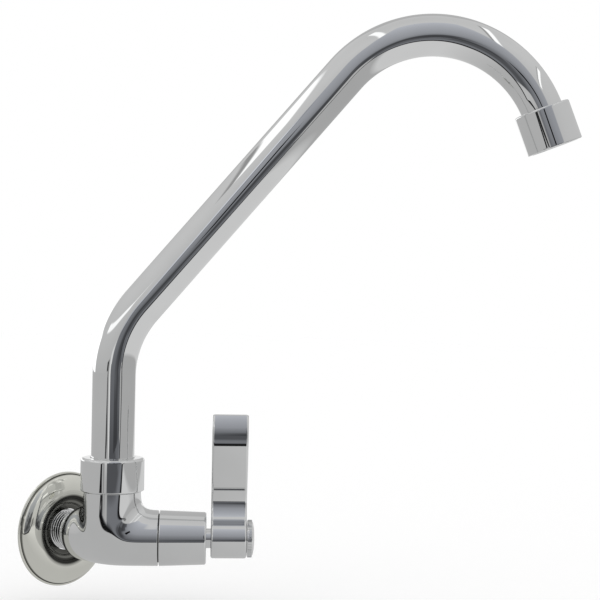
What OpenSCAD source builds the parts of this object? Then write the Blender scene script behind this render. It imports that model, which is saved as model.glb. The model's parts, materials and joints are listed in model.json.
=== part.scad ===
// Single-lever wall tap with a swivelling gooseneck spout.
//
// Origin: the centre of the wall flange's back face. The wall is the plane y = 0,
// the room lies towards -Y, +Z is up. The inlet, the valve and the lever lie at z = 0.
// The swivel axis is vertical and stands wall_reach in front of the wall. Heights are
// given from the valve axis, and stations along the valve from the swivel axis.

/* [Wall flange] */
// Outside diameter of the flange at the wall
flange_d = 60; // [52:0.5:75]
// Diameter of the flange's raised ring
flange_crest_d = 37.5; // [33:0.5:44]
// How far the raised ring stands out from the wall
flange_h = 5.2; // [4:0.1:7]
// Distance from the wall to the face of the sunk middle
flange_floor = 2.6; // [2:0.1:3.4]
// Thickness of the pressed sheet
flange_t = 0.8; // [0.5:0.1:1.2]

/* [Inlet] */
// Outside diameter of the inlet thread, G 1/2
inlet_thread_d = 20.955; // [19:0.005:23]
// Length of thread that enters the pipe fitting in the wall
inlet_thread_len = 15; // [10:0.5:25]
// Bore of the inlet
inlet_bore_d = 13; // [11:0.1:14]
// Distance from the wall to the end of the cast shank
shank_gap = 10.5; // [8:0.1:13]
// Radius of the rounded end of the shank
shank_round = 5; // [2:0.1:6.5]

/* [Body] */
// Distance from the wall to the swivel axis
wall_reach = 38.2; // [36:0.1:60]
// Angle in plan between the wall's normal and the valve branch
valve_angle = 45; // [35:1:55]
// Diameter of the shank and the valve branch
branch_d = 28.2; // [27:0.1:32]
// Length of the valve branch from the swivel axis
branch_len = 24; // [22:0.1:32]
// Radius of the bend between shank and branch, seen from above
plan_bend_r = 20; // [17:0.5:24]
// Diameter of the upright that carries the spout
riser_d = 29.2; // [28.4:0.1:32]
// Height of the upright's domed foot above the underside of the branch
foot_lift = 0.7; // [0.6:0.1:1.2]
// Wall that the waterways leave between them
bore_wall = 1; // [0.8:0.1:1.5]

/* [Body waterways] */
// Distance from the swivel axis to the end of the inlet bore
inlet_stop = 7.5; // [7:0.1:9]
// Diameter of the seat hole
seat_d = 11; // [8:0.1:11.5]
// Distance from the swivel axis to the valve seat
seat_s = 1; // [0.5:0.1:1.5]
// How far the seat hole runs back past the swivel axis
seat_run = 10; // [8:0.1:11]
// Diameter of the chamber around the headwork's cage
chamber_d = 22.4; // [21.4:0.1:23]
// Diameter of the waterway up to the spout
riser_bore_d = 14; // [12:0.1:14.4]

/* [Collar nut] */
// Outside diameter of the collar nut
collar_d = 32.4; // [31:0.1:36]
// Height of the collar nut's lower edge
collar_z = 24.4; // [23:0.1:32]
// Height of the collar nut itself
collar_h = 16.7; // [15:0.1:22]
// Gap between the upright's shoulder and the collar nut
collar_gap = 0.3; // [0.2:0.1:0.6]
// Thickness of the inward lip that holds the spout down
collar_lip = 2.1; // [1.5:0.1:3]
// Radius of the collar nut's upper edge
collar_round = 1.3; // [0.5:0.1:1.8]
// Thread diameter between the collar nut and the upright
collar_thread_d = 27.4; // [27:0.1:28.2]
// Thickness of the two plastic thrust washers
washer_t = 1; // [0.6:0.1:1.5]

/* [Spout] */
// Outside diameter of the spout tube
tube_d = 22; // [20:0.1:22.4]
// Wall thickness of the spout tube
tube_wall = 1; // [0.8:0.1:1.5]
// Height at which the upright part of the tube starts to bend
upright_top = 82.7; // [60:0.1:140]
// Centreline radius of the lower bend
knee_r = 55.5; // [35:0.5:80]
// Angle between the slanted run and the vertical
slant = 40.3; // [25:0.1:50]
// Length of the straight slanted run
slant_run = 159.5; // [100:0.5:220]
// Centreline radius of the upper arc
arc_r = 61; // [45:0.5:80]
// Angle between the outlet's axis and straight down
outlet_tilt = 21; // [10:1:35]

/* [Spout ferrule] */
// Thickness of the ferrule's flange
ferrule_flange_t = 1.4; // [1:0.1:2]
// Length of the ferrule inside the upright
ferrule_depth = 18; // [15:0.5:19]
// Length of the ferrule inside the tube
ferrule_spigot = 12; // [8:0.5:20]
// Waterway through the ferrule
ferrule_bore_d = 15; // [13:0.1:15.6]
// Thickness of the ferrule's two O-rings
spout_ring_t = 1.9; // [1.6:0.1:2.1]

/* [Outlet] */
// Outside diameter of the outlet housing
outlet_d = 29.4; // [28:0.1:34]
// Length of the outlet housing
outlet_len = 21.2; // [20:0.1:26]
// Length of the housing above the end of the arc
outlet_overlap = 2.5; // [1.5:0.1:3]
// Length of straight tube inside the housing
outlet_run = 6; // [4:0.1:7]
// Thread diameter of the aerator
aerator_thread_d = 23.9; // [22.5:0.1:24.6]
// How far the aerator sits back from the mouth
aerator_recess = 1.4; // [0.5:0.1:2]
// Thickness of the ledge that the aerator's washer seals on
ledge_t = 1.2; // [0.8:0.1:2]
// Thickness of the aerator's washer
aerator_washer_t = 1.6; // [1:0.1:2]
// Width of the aerator's washer
aerator_washer_w = 3.6; // [2.5:0.1:4]
// Wall thickness of the aerator's shell
aerator_wall = 1.6; // [1:0.1:2]
// Lip that holds the aerator's parts in the shell
aerator_lip = 1; // [0.6:0.1:1.4]
// Wall and floor of the jet cup
cup_wall = 1; // [0.8:0.1:1.2]
// Diameter of the jet holes
jet_d = 1.2; // [0.8:0.1:1.4]
// Thickness of the screen
screen_t = 0.4; // [0.3:0.1:0.6]
// Size of the screen's square holes
mesh_hole = 1.3; // [1:0.1:1.5]
// Width of the screen's bars
mesh_bar = 0.6; // [0.4:0.1:0.8]
// Thickness of the stream straightener
straightener_t = 2.8; // [2:0.1:3.2]
// Across-flats size of the straightener's cells
cell_af = 2.6; // [2:0.1:3.2]
// Walls between the straightener's cells
cell_wall = 0.5; // [0.4:0.1:0.8]
// Plain rim round the screen and the straightener
grid_rim = 0.4; // [0.3:0.1:0.8]

/* [Valve sleeve] */
// Length of the sleeve that covers the headwork
sleeve_len = 23.8; // [22:0.1:30]
// Diameter of the sleeve at the lever's end
sleeve_end_d = 26.7; // [24:0.1:28]
// Joint between the body and the sleeve
mouth_gap = 0.6; // [0.4:0.1:0.8]
// Thickness of the sleeve's front wall
sleeve_front = 2.5; // [1.5:0.1:3]
// Radius of the sleeve's front edge
sleeve_round = 1; // [0.5:0.1:1.4]

/* [Headwork] */
// Thread diameter of the headwork, G 1/2
head_thread_d = 20.9; // [19.8:0.1:21.4]
// Diameter of the cage that holds the ceramic discs
cage_d = 18.4; // [17.6:0.1:19]
// Wall thickness of the cage
cage_wall = 1; // [0.8:0.1:1.2]
// Across-flats size of the headwork's hexagon
hex_af = 22; // [21.6:0.1:22.4]
// Diameter of the washer face under the hexagon
hex_face_d = 24.6; // [24:0.1:25.2]
// Thickness of the hexagon and its washer face
hex_h = 5.4; // [4:0.1:7]
// Diameter of the headwork's barrel
barrel_d = 17.8; // [16:0.1:18.4]
// Thickness of the hexagon's washer face
hex_face_t = 1; // [0.6:0.1:1.5]
// Room in the chamber past the ceramic discs
cage_room = 4; // [3.5:0.1:5]

/* [Ceramic discs] */
// Thickness of each ceramic disc
disc_t = 3; // [2.5:0.1:3.2]
// Thickness of the rubber seat seal
seal_t = 2.4; // [1.8:0.1:2.8]
// Solid rim outside a disc's two ports
port_rim = 1.8; // [1.2:0.1:2.4]
// Diameter of the solid middle between the ports
port_hub_d = 4.4; // [3:0.1:5]
// Half of the angle that a port takes up
port_half = 38; // [20:1:42]
// Width of the slot that turns the moving disc
drive_slot_w = 4; // [3:0.1:5]
// Depth of that slot
drive_slot_t = 1.2; // [0.8:0.1:1.6]

/* [Spindle] */
// Diameter of the spindle
spindle_d = 8; // [7.4:0.1:8.4]
// Length of the spindle inside the lever's hub
spindle_reach = 11.4; // [9:0.1:12]
// Diameter of the flange that drives the moving disc
drive_d = 10.4; // [9.4:0.1:12]
// Thickness of that flange
drive_t = 2; // [1.5:0.1:2.4]
// Thickness of the spindle's O-rings
spindle_ring_t = 1.3; // [1:0.1:1.4]
// Distance from the hexagon to the first O-ring
spindle_ring_in = 2; // [1:0.1:3]
// Thickness of the clip that keeps the spindle in
clip_t = 0.9; // [0.6:0.1:1.2]
// Width of the clip outside the spindle
clip_w = 2.4; // [2:0.1:2.8]
// Depth of the clip's groove
clip_groove = 0.7; // [0.4:0.1:0.9]

/* [Lever] */
// Diameter of the lever's hub
hub_d = 20.2; // [19.2:0.1:24]
// Length of the hub, and width of the lever
hub_len = 18.4; // [17.5:0.1:24]
// Space between the sleeve and the hub
hub_gap = 2.3; // [1.5:0.1:4]
// Diameter of the hub's neck
neck_d = 10; // [9.6:0.1:11.5]
// Wall of the hub round the screw's pocket
hub_wall = 3; // [2.5:0.1:3.5]
// Thickness of the web that the screw clamps
web_t = 2; // [1.5:0.1:2.2]
// Thickness of the lever's blade
blade_t = 4.2; // [3:0.1:5.5]
// Radius of the hollow where the blade leaves the hub
blade_root_r = 11.8; // [9:0.1:15]
// Steepest forward lean of the blade
blade_lean = 35; // [20:1:45]
// Radius of the blade's long outward sweep
blade_sweep_r = 51; // [35:0.5:60]
// Radius of the curl at the blade's tip
blade_tip_r = 16.7; // [12:0.1:24]
// Turn of the curl at the blade's tip
blade_tip_turn = 38; // [20:1:60]

/* [Index cap] */
// Diameter of the index cap
cap_d = 19.2; // [17:0.1:20]
// Thickness of the index cap's ring
cap_ring = 2.5; // [2:0.1:3.5]
// Height of the cap's dome
cap_dome = 1.2; // [0.6:0.1:2]
// Width of the flat step round the dome
cap_step = 1; // [0.5:0.1:2]
// Length of the plug behind the ring
plug_len = 2.8; // [1.5:0.1:3]
// Wall thickness of the plug
plug_wall = 1.2; // [0.8:0.1:1.6]

/* [Handle screw] */
// Thread diameter of the handle screw
screw_d = 5; // [4:0.1:5.4]
// Length of the screw's shank
screw_len = 12; // [10:0.5:15]
// Diameter of the screw's head
screw_head_d = 8.4; // [7:0.1:9]
// Height of the screw's head
screw_head_h = 2.6; // [2:0.1:3]
// Across-flats size of the screw's socket
screw_af = 2.9; // [2:0.1:3.5]

/* [Fits] */
// Radial clearance of a turning fit
running = 0.05; // [0.04:0.01:0.08]
// Axial play where one face turns on another
face_play = 0.1; // [0.05:0.01:0.2]
// Clearance between pieces that are assembled loosely
loose = 0.3; // [0.2:0.05:0.4]
// Width of the small bevels on machined edges
bevel = 0.6; // [0.3:0.1:0.7]
// Depth of the relief groove between the inlet thread and the shank
relief = 0.8; // [0.5:0.1:1]

/* [Hidden] */
$fn = 96;

// Length by which a cutter runs past the faces it cuts
past = 1;

// Radii
tube_r = tube_d / 2;
branch_r = branch_d / 2;
riser_r = riser_d / 2;
hub_r = hub_d / 2;
spindle_r = spindle_d / 2;
outlet_r = outlet_d / 2;
sleeve_end_r = sleeve_end_d / 2;
inlet_bore_r = inlet_bore_d / 2;
cage_r = cage_d / 2;
cage_bore_r = cage_r - cage_wall;
head_thread_r = head_thread_d / 2;
collar_thread_r = collar_thread_d / 2;

// Levels of the stack inside the collar nut, from the top down
collar_top = collar_z + collar_h;
lip_z = collar_top - collar_lip;
washer_hi_z = lip_z - washer_t;
ferrule_flange_top = washer_hi_z - face_play;
ferrule_flange_z = ferrule_flange_top - ferrule_flange_t;
washer_lo_z = ferrule_flange_z - face_play - washer_t;
riser_top = washer_lo_z;
ferrule_z = riser_top - ferrule_depth;
socket_z = ferrule_z - loose;

// Radii of that stack, outwards from the waterway
washer_in_r = tube_r + loose;
washer_out_r = collar_thread_r - loose;
ferrule_flange_r = washer_out_r - loose;
tube_bore_r = tube_r - tube_wall;
spigot_r = tube_bore_r - running;
socket_r = tube_r + running;
spout_ring_r = spout_ring_t / 2;
groove_r = tube_r - spout_ring_t - running;
groove_w = spout_ring_t + 2 * running;
groove_step = 3 * groove_w;

// Spout path
arc_turn = 180 - outlet_tilt - slant;

// Waterways of the body
chamber_len = seal_t + 2 * disc_t + cage_room;
chamber_end = seat_s + chamber_len;
riser_bore_z = inlet_bore_r + bore_wall;

// Stations along the valve
sleeve_s = branch_len + mouth_gap;
sleeve_end_s = sleeve_s + sleeve_len;
hub_s = sleeve_end_s + hub_gap;
hub_end_s = hub_s + hub_len;
hex_s = branch_len + mouth_gap;
barrel_s = hex_s + hex_h;
barrel_end_s = sleeve_end_s - sleeve_front - loose;
cage_s = seat_s + seal_t / 2;
fixed_disc_s = seat_s + seal_t;
moving_disc_s = fixed_disc_s + disc_t + running;
drive_s = moving_disc_s + disc_t + running;
disc_r = cage_bore_r - face_play;
cage_end_s = drive_s + drive_t + face_play;
port_r = disc_r - port_rim;

// The lever's seat on the spindle
lever_bore_r = spindle_r + running;
spindle_end_s = hub_s + spindle_reach;
web_s = spindle_end_s + loose;
pocket_s = web_s + web_t;
screw_head_r = screw_head_d / 2;
screw_r = screw_d / 2;
pocket_r = hub_r - hub_wall;
clip_pocket_r = spindle_r + clip_w;
clip_s = barrel_end_s - clip_t - 2 * face_play;
clip_groove_r = spindle_r - clip_groove;
spindle_groove_r = spindle_r - spindle_ring_t;
spindle_ring_1 = barrel_s + spindle_ring_in;
spindle_ring_s = [spindle_ring_1, spindle_ring_1 + 3 * spindle_ring_t];

// Cap
cap_s = hub_end_s + loose;
plug_r = pocket_r - running;

// Stations along the outlet, from the end of the arc
outlet_top = -outlet_overlap;
outlet_mouth = outlet_top + outlet_len;
stop_t = outlet_run + face_play;
aerator_top = stop_t + ledge_t;
aerator_r = aerator_thread_d / 2;
aerator_bore_r = aerator_r - aerator_wall;
shell_top = aerator_top + aerator_washer_t;
shell_end = outlet_mouth - aerator_recess;
insert_r = aerator_bore_r - face_play;
straightener_top = shell_end - aerator_lip - straightener_t;
screen_top = straightener_top - screen_t - face_play;
insert_h = screen_top - face_play - shell_top;

// The blade's profile: arc centres in the plane across the valve, forwards and up.
// The root angle is where the hollow leaves the hub, measured from the front.
blade_root_angle = 58;
blade_bite = 0.05;
blade_root_c = (hub_r - blade_bite + blade_root_r)
    * [cos(blade_root_angle), sin(blade_root_angle)];
blade_sweep_c = blade_root_c
    - (blade_root_r + blade_sweep_r) * [cos(blade_lean), -sin(blade_lean)];
blade_tip_c = blade_sweep_c + [blade_sweep_r - blade_tip_r, 0];

// Points of an arc about c, from angle a to angle b in the given number of steps
function arc(c, r, a, b, steps) =
    [for (i = [0:steps]) c + r * [cos(a + (b - a) * i / steps), sin(a + (b - a) * i / steps)]];

function reversed(list) = [for (i = [len(list) - 1:-1:0]) list[i]];

// ---- Frames ----

// Origin on the swivel axis at the valve's height, X towards the spout's outlet at rest
module spout_frame() {
    translate([0, -wall_reach, 0]) rotate([0, 0, valve_angle - 90]) children();
}

// Z along the valve towards the lever, Y up, X away from the side the lever opens to
module valve_frame(s = 0) {
    translate([0, -wall_reach, 0]) rotate([0, 0, valve_angle]) rotate([90, 0, 0])
        translate([0, 0, s]) children();
}

// Z from the wall into the room, along the inlet
module inlet_frame(distance = 0) {
    rotate([90, 0, 0]) translate([0, 0, distance]) children();
}

// Moves on to the end of a bend that leaves the origin along Z and turns towards X
module after_bend(r, turn) {
    translate([r * (1 - cos(turn)), 0, r * sin(turn)]) rotate([0, turn, 0]) children();
}

// Z down the outlet, origin at the end of the spout's arc
module outlet_frame(t = 0) {
    spout_frame() translate([0, 0, upright_top]) after_bend(knee_r, slant)
        translate([0, 0, slant_run]) after_bend(arc_r, arc_turn)
            translate([0, 0, t]) children();
}

// ---- Shapes ----

module ring(outer_r, inner_r, h) {
    difference() {
        cylinder(r = outer_r, h = h);
        translate([0, 0, -past]) cylinder(r = inner_r, h = h + 2 * past);
    }
}

// A bend that leaves the origin along Z and turns towards X, hollow where hollow_r isn't 0.
// It is a trifle slimmer than the straight runs and laps into them at both ends.
module bend(r, hollow_r, bend_r, turn) {
    slim = 0.05;
    lap = asin(0.4 / bend_r);
    translate([bend_r, 0, 0]) rotate([90, 0, 180]) rotate([0, 0, -lap])
        rotate_extrude(angle = turn + 2 * lap) translate([bend_r, 0]) difference() {
            circle(r - slim);
            if (hollow_r > 0) circle(hollow_r - slim);
        }
}

module o_ring(centre_r, section_r) {
    rotate_extrude() translate([centre_r, 0]) circle(section_r);
}

// ---- Body ----

// The shank, the bend and the valve branch, on one centreline
module body_run() {
    tangent = plan_bend_r * tan(valve_angle / 2);
    shank_len = wall_reach - shank_gap - tangent;
    inlet_frame(shank_gap) {
        rotate_extrude() polygon(concat([[0, 0]],
            arc([branch_r - shank_round, shank_round], shank_round, -90, 0, 8),
            [[branch_r, shank_len], [0, shank_len]]));
        translate([0, 0, shank_len]) {
            bend(branch_r, 0, plan_bend_r, valve_angle);
            after_bend(plan_bend_r, valve_angle) cylinder(r = branch_r, h = branch_len - tangent);
        }
    }
}

// The upright, with a domed foot inside the bend and a threaded neck
module body_riser() {
    dome_z = riser_r - branch_r + foot_lift;
    shoulder_z = collar_z - collar_gap;
    rotate_extrude() polygon(concat(
        arc([0, dome_z], riser_r, -90, 0, 12),
        [[riser_r, shoulder_z], [collar_thread_r, shoulder_z], [collar_thread_r, riser_top],
            [0, riser_top]]));
}

// The inlet's thread, in two stretches with a groove in the plane of the wall
module inlet_thread() {
    thread_r = inlet_thread_d / 2;
    rotate([-90, 0, 0]) rotate_extrude() polygon([
        [0, -shank_gap - past], [thread_r, -shank_gap - past], [thread_r, -relief],
        [thread_r - relief, -relief], [thread_r - relief, 0], [thread_r, 0],
        [thread_r, inlet_thread_len - bevel], [thread_r - bevel, inlet_thread_len],
        [0, inlet_thread_len]]);
}

module body_casting() {
    color("silver") difference() {
        union() {
            body_run();
            inlet_thread();
            translate([0, -wall_reach, 0]) body_riser();
        }
        inlet_frame(-inlet_thread_len - past)
            cylinder(r = inlet_bore_r, h = inlet_thread_len + past + wall_reach - inlet_stop);
        valve_frame(-seat_run) cylinder(r = seat_d / 2, h = seat_run + seat_s + past);
        valve_frame(seat_s) cylinder(r = chamber_d / 2, h = chamber_len);
        valve_frame(chamber_end - past)
            cylinder(r = head_thread_r + running, h = branch_len - chamber_end + 2 * past);
        translate([0, -wall_reach, riser_bore_z])
            cylinder(r = riser_bore_d / 2, h = riser_top);
        translate([0, -wall_reach, socket_z]) cylinder(r = socket_r, h = riser_top);
    }
}

// Pressed sheet: a domed skirt up to the raised ring, then a sunk middle with a hole
module wall_flange() {
    rim_r = flange_d / 2;
    crest_r = flange_crest_d / 2;
    hole_r = inlet_thread_d / 2 + loose;
    floor_r = hole_r + 2.4;
    edge_h = flange_t;
    steps = 10;
    skirt = [for (i = [0:steps]) let (a = 90 * i / steps)
        [crest_r + (rim_r - crest_r) * cos(a), edge_h + (flange_h - edge_h) * sin(a)]];
    sunk = [for (i = [1:steps]) let (a = 180 * i / steps)
        [crest_r - (crest_r - floor_r) * i / steps,
            flange_floor + (flange_h - flange_floor) * (1 + cos(a)) / 2]];
    front = concat([[rim_r, 0]], skirt, sunk, [[hole_r, flange_floor]]);
    inside = [for (p = reversed(concat(skirt, sunk)))
        [min(p[0], rim_r - flange_t), max(p[1] - flange_t, 0)]];
    color("#e6dfcf") inlet_frame() rotate_extrude()
        polygon(concat(front, [[hole_r, flange_floor - flange_t]], inside));
}

// ---- Spout and collar ----

module collar_nut() {
    outer_r = collar_d / 2;
    bore_r = collar_thread_r + running;
    lip_r = tube_r + loose;
    color("silver") translate([0, -wall_reach, 0]) rotate_extrude()
        polygon(concat(
            [[bore_r, collar_z], [outer_r - bevel / 2, collar_z], [outer_r, collar_z + bevel / 2]],
            arc([outer_r - collar_round, collar_top - collar_round], collar_round, 0, 90, 6),
            [[lip_r, collar_top], [lip_r, lip_z], [bore_r, lip_z]]));
}

module thrust_washer(z) {
    color("#f4f4ee") translate([0, -wall_reach, z]) ring(washer_out_r, washer_in_r, washer_t);
}

module thrust_washer_lower() {
    thrust_washer(washer_lo_z);
}

module thrust_washer_upper() {
    thrust_washer(washer_hi_z);
}

// Heights of the ferrule's two O-rings
ring_zs = [ferrule_z + groove_step, ferrule_z + 2 * groove_step];

module spout_ferrule() {
    bore_r = ferrule_bore_d / 2;
    color("#c9a24a") spout_frame() difference() {
        union() {
            translate([0, 0, ferrule_z]) cylinder(r = tube_r, h = ferrule_flange_top - ferrule_z);
            translate([0, 0, ferrule_flange_z]) cylinder(r = ferrule_flange_r, h = ferrule_flange_t);
            translate([0, 0, ferrule_flange_z])
                cylinder(r = spigot_r, h = ferrule_flange_t + ferrule_spigot);
        }
        translate([0, 0, ferrule_z - past])
            cylinder(r = bore_r, h = ferrule_flange_top - ferrule_z + ferrule_spigot + 2 * past);
        for (z = ring_zs) translate([0, 0, z - groove_w / 2])
            ring(tube_r + past, groove_r, groove_w);
    }
}

module spout_o_rings() {
    color("#202020") spout_frame()
        for (z = ring_zs) translate([0, 0, z]) o_ring(tube_r - spout_ring_r, spout_ring_r);
}

module tube_section() {
    difference() {
        circle(tube_r);
        circle(tube_bore_r);
    }
}

module spout_tube() {
    color("silver") spout_frame() {
        translate([0, 0, ferrule_flange_top])
            linear_extrude(upright_top - ferrule_flange_top) tube_section();
        translate([0, 0, upright_top]) {
            bend(tube_r, tube_bore_r, knee_r, slant);
            after_bend(knee_r, slant) {
                linear_extrude(slant_run) tube_section();
                translate([0, 0, slant_run]) {
                    bend(tube_r, tube_bore_r, arc_r, arc_turn);
                    after_bend(arc_r, arc_turn) linear_extrude(outlet_run) tube_section();
                }
            }
        }
    }
}

// ---- Outlet ----

module outlet_housing() {
    round_r = 0.9;
    color("silver") outlet_frame() rotate_extrude() polygon(concat(
        [[tube_r + loose, outlet_top]],
        arc([outlet_r - round_r, outlet_top + round_r], round_r, -90, 0, 5),
        [[outlet_r, outlet_mouth - bevel], [outlet_r - bevel, outlet_mouth],
            [aerator_r + running + bevel, outlet_mouth],
            [aerator_r + running, outlet_mouth - bevel],
            [aerator_r + running, aerator_top], [tube_bore_r - bevel, aerator_top],
            [tube_bore_r - bevel, stop_t], [tube_r + running, stop_t],
            [tube_r + running, 0], [tube_r + loose, 0]]));
}

module aerator_washer() {
    color("#303030") outlet_frame(aerator_top)
        ring(aerator_r - face_play, aerator_r - face_play - aerator_washer_w, aerator_washer_t);
}

module aerator_shell() {
    color("silver") outlet_frame() difference() {
        translate([0, 0, shell_top]) cylinder(r = aerator_r, h = shell_end - shell_top);
        translate([0, 0, shell_top - past])
            cylinder(r = aerator_bore_r, h = shell_end - aerator_lip - shell_top + past);
        translate([0, 0, shell_top])
            cylinder(r = aerator_bore_r - aerator_lip, h = shell_end - shell_top + past);
    }
}

// Plastic cup whose floor has rings of small jets
module aerator_insert() {
    color("#e8e8e4") outlet_frame(shell_top) difference() {
        cylinder(r = insert_r, h = insert_h);
        translate([0, 0, cup_wall]) cylinder(r = insert_r - cup_wall, h = insert_h);
        for (row = [1:3], k = [0:6 * row - 1])
            rotate([0, 0, 360 * k / (6 * row)]) translate([insert_r * row / 4, 0, -past])
                cylinder(r = jet_d / 2, h = cup_wall + 2 * past, $fn = 24);
    }
}

module aerator_screen() {
    pitch = mesh_hole + mesh_bar;
    reach = floor(insert_r / pitch);
    color("#9a9a9a") outlet_frame(screen_top) linear_extrude(screen_t) difference() {
        circle(insert_r);
        for (i = [-reach:reach], j = [-reach:reach])
            if (norm([i, j]) * pitch + mesh_hole < insert_r - grid_rim)
                translate([i, j] * pitch) square(mesh_hole, center = true);
    }
}

// Honeycomb that smooths the stream at the mouth
module stream_straightener() {
    pitch = cell_af + cell_wall;
    reach = ceil(insert_r / pitch) + 1;
    cell_r = cell_af / 2 / cos(30);
    color("#e8e8e4") outlet_frame(straightener_top) difference() {
        cylinder(r = insert_r, h = straightener_t);
        for (i = [-reach:reach], j = [-reach:reach])
            let (p = pitch * [i + j / 2, j * sin(60)])
                if (norm(p) + cell_r < insert_r - grid_rim)
                    translate([p[0], p[1], -past]) rotate([0, 0, 30])
                        cylinder(r = cell_r, h = straightener_t + 2 * past, $fn = 6);
    }
}

// ---- Valve ----

module valve_sleeve() {
    wide_r = hex_af / 2 / cos(30) + loose;
    wide_len = mouth_gap + hex_h;
    color("silver") valve_frame() rotate_extrude() polygon(concat(
        [[wide_r, sleeve_s], [branch_r - bevel / 3, sleeve_s], [branch_r, sleeve_s + bevel / 3]],
        arc([sleeve_end_r - sleeve_round, sleeve_end_s - sleeve_round], sleeve_round, 0, 90, 5),
        [[neck_d / 2 + loose, sleeve_end_s], [neck_d / 2 + loose, barrel_end_s + loose],
            [barrel_d / 2 + running, barrel_end_s + loose],
            [barrel_d / 2 + running, sleeve_s + wide_len], [wide_r, sleeve_s + wide_len]]));
}

module headwork_body() {
    window_s = moving_disc_s + disc_t / 2;
    window_len = cage_end_s - window_s;
    window_w = cage_r;
    color("#c9a24a") valve_frame() difference() {
        union() {
            translate([0, 0, cage_s]) cylinder(r = cage_r, h = chamber_end - cage_s + past);
            translate([0, 0, chamber_end + face_play])
                cylinder(r = head_thread_r, h = hex_s - chamber_end - face_play + past);
            translate([0, 0, hex_s]) cylinder(r = hex_face_d / 2, h = hex_face_t);
            translate([0, 0, hex_s]) cylinder(r = hex_af / 2 / cos(30), h = hex_h, $fn = 6);
            translate([0, 0, barrel_s - past])
                cylinder(r = barrel_d / 2, h = barrel_end_s - barrel_s + past);
        }
        translate([0, 0, cage_s - past]) cylinder(r = cage_bore_r, h = cage_end_s - cage_s + past);
        translate([0, 0, cage_s])
            cylinder(r = spindle_r + running, h = barrel_end_s - cage_s + past);
        translate([0, 0, clip_s - face_play])
            cylinder(r = clip_pocket_r, h = barrel_end_s - clip_s + past);
        translate([0, 0, window_s + window_len / 2])
            cube([window_w, 2 * cage_d, window_len], center = true);
    }
}

module headwork_gasket() {
    color("#8a3b2a") valve_frame(branch_len)
        ring(hex_face_d / 2, head_thread_r + running, mouth_gap);
}

module seat_seal() {
    color("#202020") valve_frame(seat_s) ring(disc_r, seat_d / 2 + loose, seal_t);
}

// The two sector ports of a ceramic disc
module ports() {
    for (side = [0, 180]) rotate(side) intersection() {
        difference() {
            circle(port_r);
            circle(port_hub_d / 2);
        }
        polygon([[0, 0], 2 * disc_r * [cos(port_half), sin(port_half)],
            2 * disc_r * [cos(port_half), -sin(port_half)]]);
    }
}

module fixed_disc() {
    color("white") valve_frame(fixed_disc_s) linear_extrude(disc_t) difference() {
        circle(disc_r);
        ports();
    }
}

module moving_disc() {
    color("#dcdcdc") valve_frame(moving_disc_s) difference() {
        linear_extrude(disc_t) difference() {
            circle(disc_r);
            rotate(90) ports();
        }
        translate([0, 0, disc_t - drive_slot_t / 2 + past / 2])
            cube([drive_d, drive_slot_w, drive_slot_t + past], center = true);
    }
}

module spindle() {
    tang_w = drive_slot_w - 2 * running;
    tang_t = drive_slot_t - running;
    color("#c9a24a") valve_frame() difference() {
        union() {
            translate([0, 0, drive_s]) cylinder(r = spindle_r, h = spindle_end_s - drive_s);
            translate([0, 0, drive_s]) cylinder(r = drive_d / 2, h = drive_t);
            translate([0, 0, drive_s - tang_t / 2 + drive_t / 4])
                cube([drive_d - bevel, tang_w, tang_t + drive_t / 2], center = true);
        }
        for (s = spindle_ring_s) translate([0, 0, s - spindle_ring_t / 2 - running])
            ring(spindle_r + past, spindle_groove_r - running, spindle_ring_t + 2 * running);
        translate([0, 0, clip_s]) ring(spindle_r + past, clip_groove_r, clip_t);
        translate([0, 0, spindle_end_s - screw_len])
            cylinder(r = screw_r + running, h = screw_len + past);
    }
}

module spindle_o_rings() {
    color("#202020") valve_frame() for (s = spindle_ring_s)
        translate([0, 0, s]) o_ring(spindle_r - spindle_ring_t / 2, spindle_ring_t / 2);
}

// E-shaped clip that keeps the spindle in the barrel
module spindle_clip() {
    thin = clip_t - 2 * running;
    color("#b0b0b0") valve_frame(clip_s + running) linear_extrude(thin) difference() {
        circle(clip_pocket_r - loose);
        circle(clip_groove_r + running);
        translate([-clip_groove_r, 0]) square([2 * clip_groove_r, 2 * clip_pocket_r]);
    }
}

// ---- Lever ----

// The blade's outline, forwards and up from the valve's axis
function blade_outline() = let (
    front = concat(
        arc(blade_root_c, blade_root_r, 180 + blade_root_angle, 180 - blade_lean, 14),
        arc(blade_sweep_c, blade_sweep_r, -blade_lean + 4, 0, 7),
        arc(blade_tip_c, blade_tip_r, 6, blade_tip_turn, 6)),
    back = concat(
        arc(blade_root_c, blade_root_r + blade_t, 180 + blade_root_angle, 180 - blade_lean, 14),
        arc(blade_sweep_c, blade_sweep_r - blade_t, -blade_lean + 4, 0, 7),
        arc(blade_tip_c, blade_tip_r - blade_t, 6, blade_tip_turn, 6)))
    concat(front, reversed(back));

module lever_handle() {
    color("silver") valve_frame() difference() {
        union() {
            translate([0, 0, hub_s]) cylinder(r1 = hub_r - bevel, r2 = hub_r, h = bevel);
            translate([0, 0, hub_s + bevel]) cylinder(r = hub_r, h = hub_len - bevel);
            translate([0, 0, hub_s]) linear_extrude(hub_len)
                polygon([for (p = blade_outline()) [-p[0], p[1]]]);
            translate([0, 0, sleeve_end_s - sleeve_front / 2])
                cylinder(r = neck_d / 2, h = hub_s - sleeve_end_s + sleeve_front);
        }
        translate([0, 0, sleeve_end_s - sleeve_front])
            cylinder(r = lever_bore_r, h = web_s - sleeve_end_s + sleeve_front);
        translate([0, 0, web_s - past])
            cylinder(r = screw_r + loose, h = web_t + 2 * past);
        translate([0, 0, pocket_s]) cylinder(r = pocket_r, h = hub_end_s - pocket_s + past);
    }
}

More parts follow.
